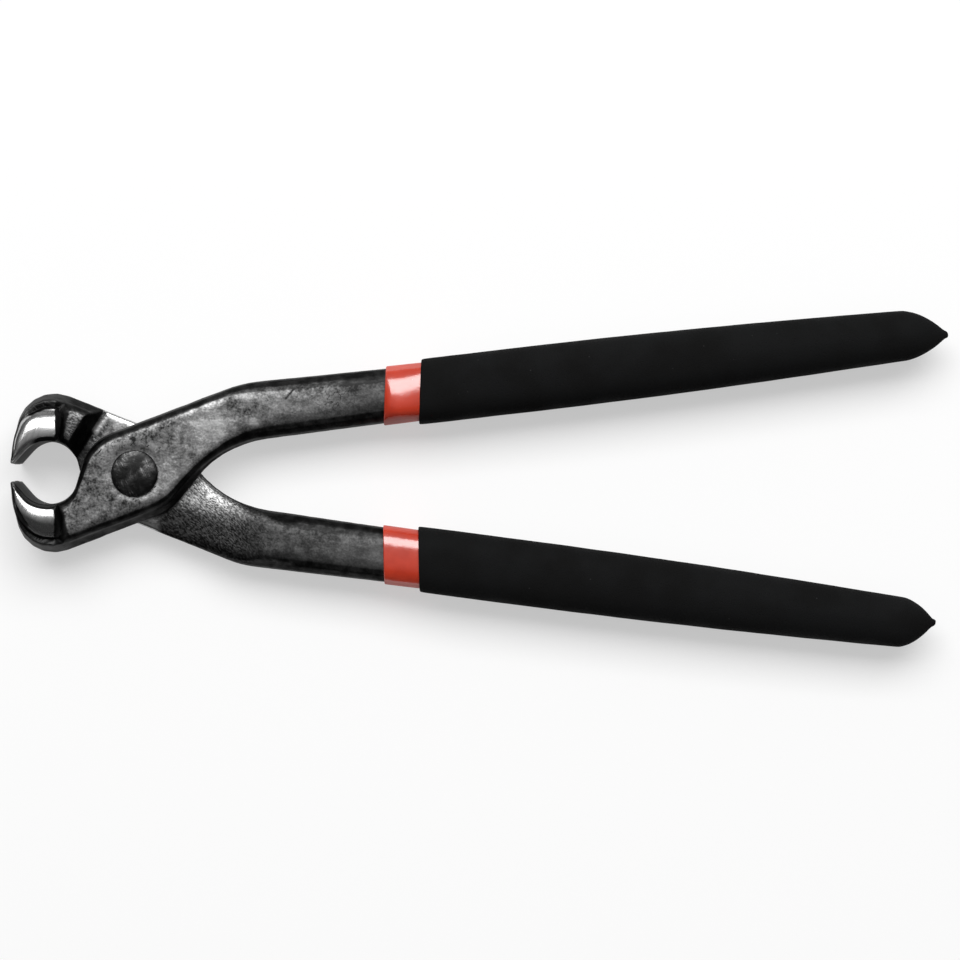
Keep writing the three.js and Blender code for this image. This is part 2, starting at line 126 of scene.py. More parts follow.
# Zones that fade with depth, with the distance from the pivot or bowl, or with the way that a face looks
SEAT_DEPTH = (0.9, 0.5)
SEAT_RADIUS = (22, 19)
# painted shade on the seat next to the slope at its end: across the lever, and distance from that slope
SEAT_SHADE_ACROSS = (-14, -12.5)
SEAT_SHADE_TO_RIM = (2.2, 0.6)
BOWL_WALL = (9.6, 8.6)
BOWL_END = (13.5, 11.5)
BOWL_END_BLACK = 0.8
FACING_BOWL = (0.5, 0.8)
TURNED_TO_BOWL = (0.1, 0.3)
OUTSIDE_FACING = (-0.3, 0.3)
NOT_STEEP = (0.3, 0.6)
RUBBED_FLATNESS = (0.82, 0.995)
FLANK_FLATNESS = (0.5, 0.25)
# how far a face leans towards the softbox before it gets painted shade
LEANING = (0.03, 0.25)
EDGE_POLISH = (1.6, 0.5)

# What counts as an edge of the lap side, which looks down: parts of a normal, and depth in millimetres
EDGE_FACING = -0.25
EDGE_FLATNESS = 0.85
EDGE_DEPTH = 5.5
RIM_SLOPE_FACING = 0.5  # the slope at the end of the seat looks along the lever and is no edge
TOP_FACING = -0.6  # what looks down more than this is rounded off, the rest follows more softly
OUTSIDE_FROM = 0.5  # what looks up more than this stays

# Rounded edges of the lap side, in millimetres
NECK_ROUNDING = 1.7  # how far the neck falls off at its edges
NECK_ROUNDING_REACH = 2.2 * NECK_ROUNDING
SEAT_ROUNDING = 0.6
SEAT_RIM_ANGLE = math.radians(208.4)  # way from the pivot to the slope at the end of the seat
SEAT_RIM_REACH = 14.2

# Patches brighter or darker on the outside, among them a broad painted highlight where the handle bends:
# share, place and reach, in millimetres along and across the lever
OUTSIDE_WEAR_AND_HIGHLIGHT = (
    (1.0, (10, -1.5), (5, 6)),
    (-0.15, (0, 8), (7, 4)),
    (0.3, (-9, -10), (6, 6)),
    (-0.5, (0.5, -7.2), (4.5, 0.9)),
    (0.3, (-10.5, 1.5), (3, 3)),
    (0.45, (-7.2, 0.5), (0.9, 4.5)),
    # a broad painted highlight where the handle bends
    (1.4, (20, 11.5), (7.5, 6.5)),
    (-0.3, (31, 16.5), (5, 3)),
    (1.8, (31.8, 11.6), (1.5, 0.9)),
    (0.35, (44, 16), (10, 6)),
)

RIVET_RING_HIGHLIGHT = (0.12, 7, 0.6)  # share, radius and width of the ring painted bright round the rivet: a painted highlight
SLEEVE_DARKENING = 0.3  # how much darker the handle gets towards the sleeve
NEAR_SLEEVE = (45, 60)
EDGE_PAINTED_SHADE = 0.4  # painted shade along the handle's edge that leans towards the softbox
EDGE_SHADE_FROM = (30, 45)

# The same on the lap side
# painted highlight on the neck by the crotch, and painted shade away from it
NECK_HIGHLIGHT = (1.1, (18, 4.5), (8, 3))
CROTCH_SLOPE = 0.22  # of the line that the neck runs along
NECK_SHADE = 0.6
FROM_CROTCH = (3, 9)
NECK_SHADE_END = (40, 26)
# how much darker the lap side's handle is
LAP_DARKENING = 0.3
# painted shade on the lap side's handle edge that leans towards the softbox
LAP_EDGE_PAINTED_SHADE = 0.25
LAP_DARKENING_FROM = (24, 36)
LAP_END_WEAR = 0.15
LAP_END = (46, 58)
# how much darker the painted shade makes the seat by its end
PAINTED_SEAT_SHADE = 0.15

# Marks in the scale
MOTTLING = 1.4
HANDLE_CALM = 0.5  # mottling lost at each of two places along the handle
HANDLE_CALM_FROM = ((24, 38), (46, 60))
LAP_CALM = 0.45
LAP_CALM_FROM = (24, 34)
LAP_CALM_END = (60, 46)
PLATE_PITS = 0.25
PIT_CLUSTER = ((2.5, 8.2), (6, 4))
HANDLE_PITS = 0.5
HANDLE_PITS_FROM = (18, 26)
CRACKED_PATCH = ((54.5, 17), (5, 4))
GOUGE = ((40.9, 17.5), (43.4, 20.3), 0.45)  # ends and width of the long scratch

# Dipped coats and rivet
RED_WAVINESS = 0.06 * MM
BLACK_WAVINESS = 0.18 * MM
COAT_WAVES = 9 * MM
COAT_LEVELS = 3
QUAD_ANGLE = math.radians(60)  # triangles that lie nearer to one plane than this are joined in pairs
STEEP = (0.8, 0.45)  # a coat's sides are duller than its top, by the height of their normals
SLEEVE_CROWN = 1.5 * MM  # how much thicker the upper red coat has set along its inner half
CROWN_AT = 0.2  # place of that ridge across the coat, from its inner edge
CROWN_FADE = 4 * MM  # the ridge fades out under the black coat and at the mouth
MOUTH_FADE = 2 * MM
ON_TOP = (0.2, 0.7)
HAMMER_DENTS = 0.3 * MM
DENT_SPACING = 3 * MM
RIVET_SIDES = 64
RIVET_EDGE = 0.12 * MM
CROWN_STEPS = 6
RIM_SHARE = 0.99  # share of the head's radius that counts as its rim
UNDER_HEAD_SHARE = 0.95
LEVEL_TOLERANCE = 0.01 * MM
CROWN_SWEEP = math.radians(80)  # arc of the crown up to its flat top
TOP_INSET = 0.3  # share of the flat top's radius

# Camera of the photograph, which looks straight down on the tool
CAMERA_AT = PIVOT + (91.29 * MM, -1.08 * MM, 900 * MM)
CAMERA_ROLL = math.radians(0.41)
CAMERA_LENS = 126.8  # for Blender's own 36 mm wide sensor

# Studio: one long softbox leaning over from the far side, in a room that darkens away from it
KEY_LEAN = math.radians(33)
KEY_DISTANCE = 2.4
KEY_SIZE = (2.8, 1.4)
KEY_WATTS = 70
ROOM_BRIGHTEST = 0.4
ROOM_DARKEST = 0.05
ROOM_FADE = 0.4  # cosine of the angle from the softbox at which the room is darkest
FLOOR_GREY = 0.97
FLOOR_GLOW = 0.5  # share of the floor seen as plain white, which halves the depth of the shadow
FLOOR_SIZE = 12


# Bench tools

def deselect():
    if bpy.context.object and bpy.context.object.mode != "OBJECT":
        bpy.ops.object.mode_set(mode="OBJECT")
    bpy.ops.object.select_all(action="DESELECT")


def take_up(piece):
    """Makes one piece the only selected and the active one."""
    deselect()
    piece.select_set(True)
    bpy.context.view_layer.objects.active = piece


def finish_with(piece, kind, **settings):
    """Adds a modifier and applies it."""
    take_up(piece)
    modifier = piece.modifiers.new(kind.lower(), kind)
    for name, value in settings.items():
        setattr(modifier, name, value)
    bpy.ops.object.modifier_apply(modifier=modifier.name)


def merged_copy(node, name):
    """A copy of a CAD solid with its loose triangles joined up."""
    mesh = frame["nodes"][node].data.copy()
    mesh.materials.clear()
    piece = bpy.data.objects.new(name, mesh)
    bpy.context.scene.collection.objects.link(piece)
    take_up(piece)
    bpy.ops.object.mode_set(mode="EDIT")
    bpy.ops.mesh.select_all(action="SELECT")
    bpy.ops.mesh.remove_doubles(threshold=MERGE_DISTANCE)
    bpy.ops.object.mode_set(mode="OBJECT")
    return piece


def points_and_normals(piece):
    count = len(piece.data.vertices)
    points = np.empty(count * 3)
    normals = np.empty(count * 3)
    piece.data.vertices.foreach_get("co", points)
    piece.data.vertices.foreach_get("normal", normals)
    return points.reshape(-1, 3), normals.reshape(-1, 3)


def rise(values, start, end):
    """0 before start, 1 after end and a smooth step between. It falls where end is the smaller."""
    share = np.clip((values - start) / (end - start), 0, 1)
    return share * share * (3 - 2 * share)


def mark(piece, name, shares):
    """Keeps a share of every point for the material."""
    attribute = piece.data.attributes.new(name, "FLOAT", "POINT")
    attribute.data.foreach_set("value", shares.astype(np.float32))


def hold(piece, name, weights):
    """Keeps weights as a vertex group, by which modifiers work on a part of the piece."""
    group = piece.vertex_groups.new(name=name)
    hundredths = np.round(weights, 2)
    for level in np.unique(hundredths):
        group.add(np.flatnonzero(hundredths == level).tolist(), float(level), "REPLACE")


def distance_to(points, chosen):
    """Distance of every point from the nearest chosen one."""
    tree = KDTree(int(chosen.sum()))
    for index, point in enumerate(points[chosen]):
        tree.insert(point, index)
    tree.balance()
    return np.array([tree.find(point)[2] for point in points])


def clouds(name, size, depth=1):
    texture = bpy.data.textures.new(name, "CLOUDS")
    texture.noise_basis = "IMPROVED_PERLIN"
    texture.noise_scale = size
    texture.noise_depth = depth
    return texture


def smooth(piece, rounds, part=""):
    """Evens out a piece, or the part of it that is held under a name."""
    finish_with(piece, "SMOOTH", factor=0.5, iterations=rounds, vertex_group=part)


def push(piece, height, part, direction="NORMAL"):
    """Moves the part that is held under a name, along an axis or outwards."""
    finish_with(piece, "DISPLACE", direction=direction, strength=height, mid_level=0, vertex_group=part)


def roughen(piece, texture, height, part=""):
    """Makes a piece, or a part of it, uneven by a pattern."""
    finish_with(piece, "DISPLACE", texture=texture, texture_coords="LOCAL", strength=height,
                vertex_group=part)


def ready(piece, node, body, finish):
    """Gives a finished piece its material and its place in the frame."""
    piece.data.materials.append(finish)
    take_up(piece)
    bpy.ops.object.shade_smooth()
    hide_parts(node)
    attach(piece, body)


# Materials

class Finish:
    """A material whose nodes are set out one by one. Sizes are those of the pattern, in metres."""

    def __init__(self, name, **constants):
        self.material = bpy.data.materials.new(name)
        self.material.use_nodes = True
        self.tree = self.material.node_tree
        self.shader = self.tree.nodes["Principled BSDF"]
        self.set(**constants)
        self.place = self.tree.nodes.new("ShaderNodeTexCoord").outputs["Object"]

    def put(self, socket, value):
        """Joins an output to a socket, or sets the socket to a number or colour."""
        if isinstance(value, bpy.types.NodeSocket):
            self.tree.links.new(value, socket)
        else:
            socket.default_value = value

    def set(self, **sockets):
        """Sets sockets of the shader, whose names are written with underscores."""
        for name, value in sockets.items():
            self.put(self.shader.inputs[name.replace("_", " ")], value)
        return self.material

    def node(self, kind, **sockets):
        made = self.tree.nodes.new("ShaderNode" + kind)
        for name, value in sockets.items():
            self.put(made.inputs[name.replace("_", " ")], value)
        return made

    def drawn_out(self, turn, length):
        """Places turned in the plane of the tool and drawn out along the turned X."""
        made = self.node("Mapping", Vector=self.place, Rotation=(0, 0, turn), Scale=(length, 1, 1))
        made.vector_type = "TEXTURE"
        return made.outputs["Vector"]

    def wandering(self, size, reach):
        """Places pushed about, so that a pattern laid on them isn't regular."""
        made = self.node("TexNoise", Vector=self.place, Scale=1 / size, Detail=2.0)
        push = self.tree.nodes.new("ShaderNodeVectorMath")
        push.operation = "MULTIPLY_ADD"
        for slot, value in zip(push.inputs, (made.outputs["Color"], (reach, reach, reach), self.place)):
            self.put(slot, value)
        return push.outputs["Vector"]

    def noise(self, size, detail=2.0, roughness=0.5, place=None):
        made = self.node("TexNoise", Vector=place or self.place, Scale=1 / size, Detail=detail,
                         Roughness=roughness)
        return made.outputs["Fac"]

    def cells(self, size, place=None):
        made = self.node("TexVoronoi", Vector=place or self.place, Scale=1 / size)
        return made.outputs["Distance"]

    def cracks(self, size, place):
        made = self.node("TexVoronoi", Vector=place, Scale=1 / size)
        made.feature = "DISTANCE_TO_EDGE"
        return made.outputs["Distance"]

    def zone(self, name):
        """A share that was marked on the piece."""
        made = self.tree.nodes.new("ShaderNodeAttribute")
        made.attribute_name = name
        return made.outputs["Fac"]

    def spread(self, value, start, end, low=0.0, high=1.0):
        """Maps start..end to low..high in a smooth step."""
        made = self.node("MapRange", Value=value, From_Min=start, From_Max=end, To_Min=low, To_Max=high)
        made.interpolation_type = "SMOOTHSTEP"
        return made.outputs["Result"]

    def sum(self, first, second, kind="ADD"):
        made = self.tree.nodes.new("ShaderNodeMath")
        made.operation = kind
        self.put(made.inputs[0], first)
        self.put(made.inputs[1], second)
        return made.outputs[0]

    def times(self, first, second):
        return self.sum(first, second, "MULTIPLY")

    def level(self, share, first, second):
        """A number that goes from first to second."""
        made = self.tree.nodes.new("ShaderNodeMix")
        for slot, value in zip((0, 2, 3), (share, first, second)):
            self.put(made.inputs[slot], value)
        return made.outputs[0]

    def tint(self, share, first, second):
        """A colour that goes from first to second."""
        made = self.tree.nodes.new("ShaderNodeMix")
        made.data_type = "RGBA"
        for slot, value in zip((0, 6, 7), (share, first, second)):
            self.put(made.inputs[slot], value)
        return made.outputs[2]

    def bump(self, height, depth, after=None):
        made = self.node("Bump", Height=height, Distance=depth)
        made.inputs["Strength"].default_value = 1
        if after:
            self.put(made.inputs["Normal"], after)
        return made.outputs["Normal"]


def grey(level, warmth=0.0):
    return (level * (1 + warmth), level, level * (1 - warmth), 1)


def forged_steel_finish():
    """Black forging scale, rubbed grey on the flats, with ground jaws and a milled lap seat."""
    steel = Finish("forged_steel", Metallic=1.0, Specular_Tint=grey(0.5))
    rubbed = steel.zone("rubbed_flat")
    flank = steel.zone("flank")
    bright = steel.zone("wear_and_painted_light")
    mottled = steel.zone("mottled")
    pitted = steel.zone("pitted")
    crackled = steel.zone("crackled")
    gouge = steel.zone("gouge")
    pebbled = steel.zone("pebbled")
    seat = steel.zone("lap_seat")
    seat_edge = steel.zone("seat_edge")
    black_scale_and_shade = steel.zone("black_scale_and_shade")
    tip_face = steel.zone("tip_face")
    ground = steel.zone("ground_side")

    stains = steel.noise(12 * MM, detail=3, roughness=0.55)
    blotches = steel.noise(2.8 * MM, detail=4, roughness=0.6)
    grain = steel.noise(0.6 * MM, detail=3, roughness=0.6)
    pebbles = steel.noise(0.46 * MM, detail=2, place=steel.drawn_out(-0.7, 1.7))
    wheel_marks = steel.noise(0.2 * MM, detail=3, place=steel.drawn_out(1.2, 30))

    # Marks in the scale: pits, short nicks and a few patches of fine cracks
    pit_cells = steel.cells(1.5 * MM, steel.wandering(0.5 * MM, 0.5 * MM))
    pit_shapes = steel.spread(steel.sum(pit_cells, steel.times(grain, 0.3)), 0.2, 0.4, 0.8, 0)
    pits = steel.times(pit_shapes, steel.spread(steel.noise(5 * MM), 0.52, 0.66))
    nick_lines = steel.noise(0.6 * MM, detail=1, place=steel.drawn_out(0.75, 5))
    nicks = steel.times(steel.spread(nick_lines, 0.68, 0.76), steel.spread(stains, 0.52, 0.6))
    crack_lines = steel.cracks(2.6 * MM, steel.wandering(2 * MM, 2.5 * MM))
    cracks = steel.times(steel.spread(crack_lines, 0.01, 0.05, 0.8, 0), crackled)
    marks = steel.times(steel.sum(steel.times(pits, pitted), nicks, "MAXIMUM"), mottled)
    marks = steel.sum(steel.sum(marks, cracks, "MAXIMUM"), gouge, "MAXIMUM")

    # Flats: how bright each spot is, from rubbing and from painted light and shade
    tone = steel.sum(steel.times(stains, 0.3), steel.times(blotches, 0.4))
    tone = steel.sum(tone, steel.times(grain, 0.3))
    tone = steel.sum(steel.times(steel.spread(tone, 0.36, 0.66, -0.5, 0.5), mottled), 0.5)
    # wear, with painted highlights and painted shade
    tone = steel.sum(tone, steel.times(bright, 0.75))
    flat = steel.tint(tone, grey(0.02), grey(0.24))
    flat = steel.tint(steel.spread(tone, 0.9, 1.6), flat, grey(0.42))
    flat = steel.tint(marks, flat, grey(0.012))
    scale = steel.tint(steel.spread(blotches, 0.35, 0.7), grey(0.014), grey(0.04))
    # steep flanks are painted lighter than the rest of the scale: a painted reflection of the floor
    flank_scale = steel.tint(steel.spread(blotches, 0.3, 0.7), grey(0.045), grey(0.085))
    scale = steel.tint(flank, scale, flank_scale)
    through = steel.spread(steel.sum(rubbed, steel.times(steel.sum(blotches, -0.5), 0.7)), 0.2, 0.95)
    colour = steel.tint(through, scale, flat)

    neck_light = steel.spread(bright, -0.6, 1.0)
    hollows = steel.tint(neck_light, grey(0.008), grey(0.13))
    tops = steel.tint(neck_light, grey(0.05), grey(0.5))
    neck_colour = steel.tint(steel.spread(pebbles, 0.36, 0.66), hollows, tops)
    colour = steel.tint(steel.times(pebbled, through), colour, neck_colour)
    seat_tone = steel.spread(steel.sum(steel.times(blotches, 0.6), steel.times(grain, 0.4)), 0.36, 0.64)
    seat_colour = steel.tint(seat_tone, grey(0.12), grey(0.36))
    colour = steel.tint(steel.times(seat, through), colour, seat_colour)
    colour = steel.tint(seat_edge, colour, grey(0.55))
    # black scale on the bowl's walls, and painted shade on the jaw's back
    colour = steel.tint(black_scale_and_shade, colour, grey(0.014))
    colour = steel.tint(tip_face, colour, grey(0.42))
    ground_colour = steel.tint(steel.spread(wheel_marks, 0.3, 0.7), grey(0.46), grey(0.58))
    colour = steel.tint(ground, colour, ground_colour)

    rough = steel.level(through, 0.42, steel.spread(tone, 0, 1.2, 0.52, 0.4))
    rough = steel.level(steel.sum(pebbled, black_scale_and_shade, "MAXIMUM"), rough, 0.44)
    rough = steel.level(seat, rough, steel.level(seat_edge, 0.34, 0.24))
    rough = steel.level(ground, rough, steel.spread(wheel_marks, 0.3, 0.7, 0.18, 0.24))

    forged = steel.spread(ground, 0, 0.6, 1, 0)
    pebble_share = steel.times(pebbled, forged)
    reliefs = (
        (blotches, forged, 0.1 * MM), (grain, forged, 0.035 * MM), (pebbles, pebble_share, 0.09 * MM),
        (steel.sum(0.5, marks, "SUBTRACT"), forged, 0.025 * MM), (wheel_marks, ground, 0.008 * MM),
    )
    normal = None
    for pattern, share, depth in reliefs:
        normal = steel.bump(steel.times(steel.sum(pattern, -0.5), share), depth, normal)
    return steel.set(Base_Color=colour, Roughness=rough, Normal=normal)


def rivet_finish():
    """Blackened head, scuffed grey by hammer and handling."""
    steel = Finish("blackened_rivet", Metallic=1.0)
    patches = steel.noise(3.2 * MM, detail=4, roughness=0.6)
    grain = steel.noise(0.45 * MM, detail=2)
    scuff_lines = steel.noise(0.3 * MM, detail=2, place=steel.drawn_out(-1.1, 10))
    scuffs = steel.times(steel.spread(scuff_lines, 0.55, 0.7), steel.spread(patches, 0.45, 0.6))
    skin = steel.tint(steel.spread(patches, 0.38, 0.66), grey(0.02), grey(0.1))
    skin = steel.tint(steel.spread(grain, 0.35, 0.7, 0.5, 0), skin, grey(0.015))
    rough = steel.spread(patches, 0.35, 0.65, 0.46, 0.36)
    normal = steel.bump(patches, 0.12 * MM)
    normal = steel.bump(grain, 0.035 * MM, normal)
    return steel.set(Base_Color=steel.tint(scuffs, skin, grey(0.22)), Roughness=rough, Normal=normal)


def red_vinyl_finish():
    """Glossy dipped coat, a little deeper in colour where it has run thick."""
    vinyl = Finish("red_vinyl", IOR=2.0)
    runs = vinyl.noise(6 * MM, detail=3)
    peel = vinyl.noise(1.2 * MM, detail=1)
    dust = vinyl.spread(vinyl.cells(1.6 * MM), 0.03, 0.1, 1, 0)
    colour = vinyl.tint(vinyl.spread(runs, 0.3, 0.7), (0.48, 0.034, 0.013, 1), (0.58, 0.045, 0.017, 1))
    rough = vinyl.sum(vinyl.spread(peel, 0.3, 0.7, 0.15, 0.2), vinyl.times(dust, 0.12))
    rough = vinyl.level(vinyl.zone("steep_side"), rough, 0.6)
    normal = vinyl.bump(vinyl.sum(vinyl.times(runs, 2.0), vinyl.times(peel, 0.25)), 0.05 * MM)
    return vinyl.set(Base_Color=colour, Roughness=rough, Normal=normal)


def black_vinyl_finish():
    """Matt coat with a fine foamed grain, a little smoother where hands have rubbed it."""
    vinyl = Finish("black_vinyl", IOR=1.5, Specular_IOR_Level=0.035)
    grain = vinyl.noise(0.32 * MM, detail=3, roughness=0.6)
    pores = vinyl.spread(vinyl.cells(0.9 * MM), 0.05, 0.3, 1, 0)
    handling = vinyl.noise(10 * MM, detail=4)
    lint = vinyl.spread(vinyl.cells(4 * MM), 0.015, 0.05, 1, 0)
    colour = vinyl.tint(vinyl.spread(handling, 0.3, 0.7), grey(0.0066), grey(0.008, -0.03))
    colour = vinyl.tint(lint, colour, grey(0.03))
    rough = vinyl.spread(handling, 0.3, 0.7, 0.84, 0.68)
    normal = vinyl.bump(grain, 0.08 * MM)
    normal = vinyl.bump(pores, -0.05 * MM, normal)
    return vinyl.set(Base_Color=colour, Roughness=rough, Normal=normal)


# Pieces

def from_shut(vectors, side):
    """Vectors turned back to the shut tool. Those of the rear lever are also turned over, so that both
    levers lie alike."""
    turned_over = vectors * (1, side, side)
    cos, sin = math.cos(REST_TURN), math.sin(REST_TURN)
    along = turned_over[:, 0] * cos + turned_over[:, 1] * sin
    across = turned_over[:, 1] * cos - turned_over[:, 0] * sin
    return np.stack([along, across, turned_over[:, 2]], axis=1)


def near(local, middle, reach):
    """1 at a place on the lever, fading out over the reach along and across it."""
    away = (local[:, :2] - middle) / reach
    return np.exp(-(away * away).sum(axis=1))


def stroke(local, start, end, width):
    """A tapering share along the line between two places on the lever."""
    line = np.subtract(end, start)
    offset = local[:, :2] - start
    share = np.clip(offset @ line / (line @ line), 0, 1)
    away = np.hypot(*(offset - share[:, None] * line).T)
    return rise(away, width, 0.3 * width)


class Places:
    """Where each point of a lever lies and looks, with the lever shut and its outside up. Distances are in
    millimetres."""

    def __init__(self, lever, side):
        self.points, normals = points_and_normals(lever)
        self.local = from_shut(self.points - PIVOT, side) / MM
        self.facing = from_shut(normals, side)
        self.along, self.across = self.local[:, 0], self.local[:, 1]
        self.depth = np.abs(self.local[:, 2])
        self.flatness = np.abs(self.facing[:, 2])
        self.from_pivot = np.hypot(self.along, self.across)
        to_bowl = (BOWL_CENTRE - self.points)[:, :2] / MM
        self.from_bowl = np.hypot(to_bowl[:, 0], to_bowl[:, 1])
        self.bowl_facing = (to_bowl * normals[:, :2]).sum(axis=1) / self.from_bowl
        self.outside = rise(self.facing[:, 2], *OUTSIDE_FACING)
        self.lap_side = 1 - self.outside
        self.on_lap = self.lap_side > 0.5

    def jaw_side(self, start, full):
        """The sides of the jaw, from one distance below their level up to another."""
        return rise(self.depth, JAW_LEVEL - start, JAW_LEVEL - full)


def ground_sides(at):
    """What the wheel has ground, and how far that falls below the level of the jaw's sides."""
    easing = np.where(at.on_lap, LAP_TIP_EASING * rise(at.along, *LAP_TIP),
                      OUTSIDE_TIP_EASING * rise(at.along, *OUTSIDE_TIP))
    flat_from = GROUND_FLATNESS - easing
    ground = rise(at.flatness, flat_from, flat_from + GROUND_FADE) * rise(at.along, *GROUND_BACK)
    behind_tip = np.where(at.on_lap, rise(at.along, *LAP_RIM_BACK), rise(at.along, *OUTSIDE_RIM_BACK))
    rim = BOWL_RIM + BOWL_RIM_GROWTH * behind_tip
    ground *= at.jaw_side(*GROUND_DEPTH) * rise(at.from_bowl, rim, rim + BOWL_RIM_FADE)
    from_crown = np.clip(-at.across - LAP_CROWN, -LAP_CROWN, GROUND_REACH)
    crown_fall = from_crown ** 2 * np.where(from_crown < 0, *LAP_CROWN_GROWTH)
    from_ridge = np.minimum(at.from_bowl - OUTSIDE_RIDGE, GROUND_REACH)
    ridge_fall = np.hypot(from_ridge, OUTSIDE_RIDGE_WIDTH) - OUTSIDE_RIDGE_WIDTH
    ridge_fall *= np.where(from_ridge < 0, *OUTSIDE_SLOPES)
    fall = np.where(at.on_lap, crown_fall, ridge_fall) * at.jaw_side(*FALL_DEPTH)
    return ground, fall * rise(at.flatness, *NOT_STEEP)


def jaw_walls(at, ground):
    """All walls that look at the bowl, those left black, the jaw's back painted black as shade, and the
    filed faces at the tips.
    """
    wall = rise(at.bowl_facing, *FACING_BOWL) * (1 - ground)
    bowl = wall * rise(at.from_bowl, *BOWL_WALL)
    # the back of the jaw below its sides is painted black: painted shade in the step down to the joint
    jaw_back = at.jaw_side(*SHADED_BACK_DEPTH) * rise(at.flatness, *NOT_STEEP)
    jaw_back *= (1 - ground) * (1 - wall)
    tip_face = wall * rise(at.from_bowl, *BOWL_WALL[::-1]) * rise(at.along, *TIP_FACE)
    tip_edge = at.jaw_side(*TIP_EDGE_DEPTH) * rise(at.along, *TIP_EDGE)
    tip_edge *= rise(at.bowl_facing, *TURNED_TO_BOWL)
    tip_face = np.maximum(tip_face, at.on_lap * tip_edge * (1 - ground))
    return wall, np.maximum(bowl, jaw_back), tip_face


def lap_seat(at):
    """The milled seat round the pivot, and painted shade on it next to the slope at its end."""
    seat = at.lap_side * rise(at.depth, *SEAT_DEPTH) * rise(at.from_pivot, *SEAT_RADIUS)
    to_rim = at.along * math.cos(SEAT_RIM_ANGLE) + at.across * math.sin(SEAT_RIM_ANGLE)
    shade_start, shade_full = SEAT_SHADE_TO_RIM
    # painted shade on the seat next to the slope at its end
    rim_shade = seat * rise(to_rim, SEAT_RIM_REACH - shade_start, SEAT_RIM_REACH - shade_full)
    return seat, rim_shade * rise(at.across, *SEAT_SHADE_ACROSS)


def outside_wear_and_painted_light(at):
    """How much brighter or darker the outside is: patches with a painted highlight, a ring painted bright
    round the rivet, a handle darker towards the sleeve and painted shade on its edge towards the softbox."""
    wear_and_light = sum(share * near(at.local, middle, reach) for share, middle, reach in OUTSIDE_WEAR_AND_HIGHLIGHT)
    # a ring of painted highlight round the rivet
    ring_highlight_share, radius, width = RIVET_RING_HIGHLIGHT
    ring = ring_highlight_share * np.exp(-((at.from_pivot - radius) / width) ** 2)
    wear_and_light += ring - SLEEVE_DARKENING * rise(at.along, *NEAR_SLEEVE)
    # painted shade along the edge that leans towards the softbox
    return wear_and_light - EDGE_PAINTED_SHADE * rise(at.facing[:, 1], *LEANING) * rise(at.along, *EDGE_SHADE_FROM)


def lap_wear_and_painted_light(at, seat_painted_shade):
    """The same for the lap side: a painted highlight on the neck by the crotch and painted shade away from
    it, a handle that is darker and has painted shade on its edge towards the softbox, and painted seat shade.
    """
    share, middle, reach = NECK_HIGHLIGHT
    from_crotch = at.across - CROTCH_SLOPE * at.along
    # painted shade on the neck away from the crotch, and a painted highlight by it
    neck_shade = NECK_SHADE * rise(from_crotch, *FROM_CROTCH) * rise(at.along, *NECK_SHADE_END)
    wear_and_light = share * near(at.local, middle, reach) - neck_shade
    # a darker handle, with painted shade on its edge that leans towards the softbox
    handle_darkening_and_shade = LAP_DARKENING + LAP_EDGE_PAINTED_SHADE * rise(-at.facing[:, 1], *LEANING)
    wear_and_light -= handle_darkening_and_shade * rise(at.along, *LAP_DARKENING_FROM)
    wear_and_light += LAP_END_WEAR * rise(at.along, *LAP_END)
    # painted shade on the seat by the slope at its end
    return wear_and_light - PAINTED_SEAT_SHADE * seat_painted_shade


def lap_edges(at):
    """How far each point of the lap side is to fall, as a share of the neck's rounding, and how much of
    an edge's polish it has."""
    facing_out = at.facing[:, 2]
    rim_slope = (at.facing[:, 0] > RIM_SLOPE_FACING) & (at.along < 0)
    edge = (facing_out < EDGE_FACING) & (at.flatness < EDGE_FLATNESS) & ~rim_slope
    edge &= (at.along > EDGES[0]) & (at.along < EDGES[1]) & (at.depth < EDGE_DEPTH)
    away = distance_to(at.points, edge) / MM
    round_off = 1 - np.sqrt(1 - np.clip(1 - away / NECK_ROUNDING_REACH, 0, 1) ** 2)
    side_fall = rise(away, NECK_ROUNDING_REACH, 0)
    neck = rise(at.along, *NECK_EDGE) * rise(at.along, *NECK_EDGE_END)
    seat = rise(at.along, *SEAT_EDGE) * rise(at.along, *SEAT_EDGE_END)
    share = np.maximum(neck, seat * SEAT_ROUNDING / NECK_ROUNDING)
    fall = np.where(facing_out < TOP_FACING, round_off, side_fall) * share * (facing_out < OUTSIDE_FROM)
    return fall, rise(away, *EDGE_POLISH)


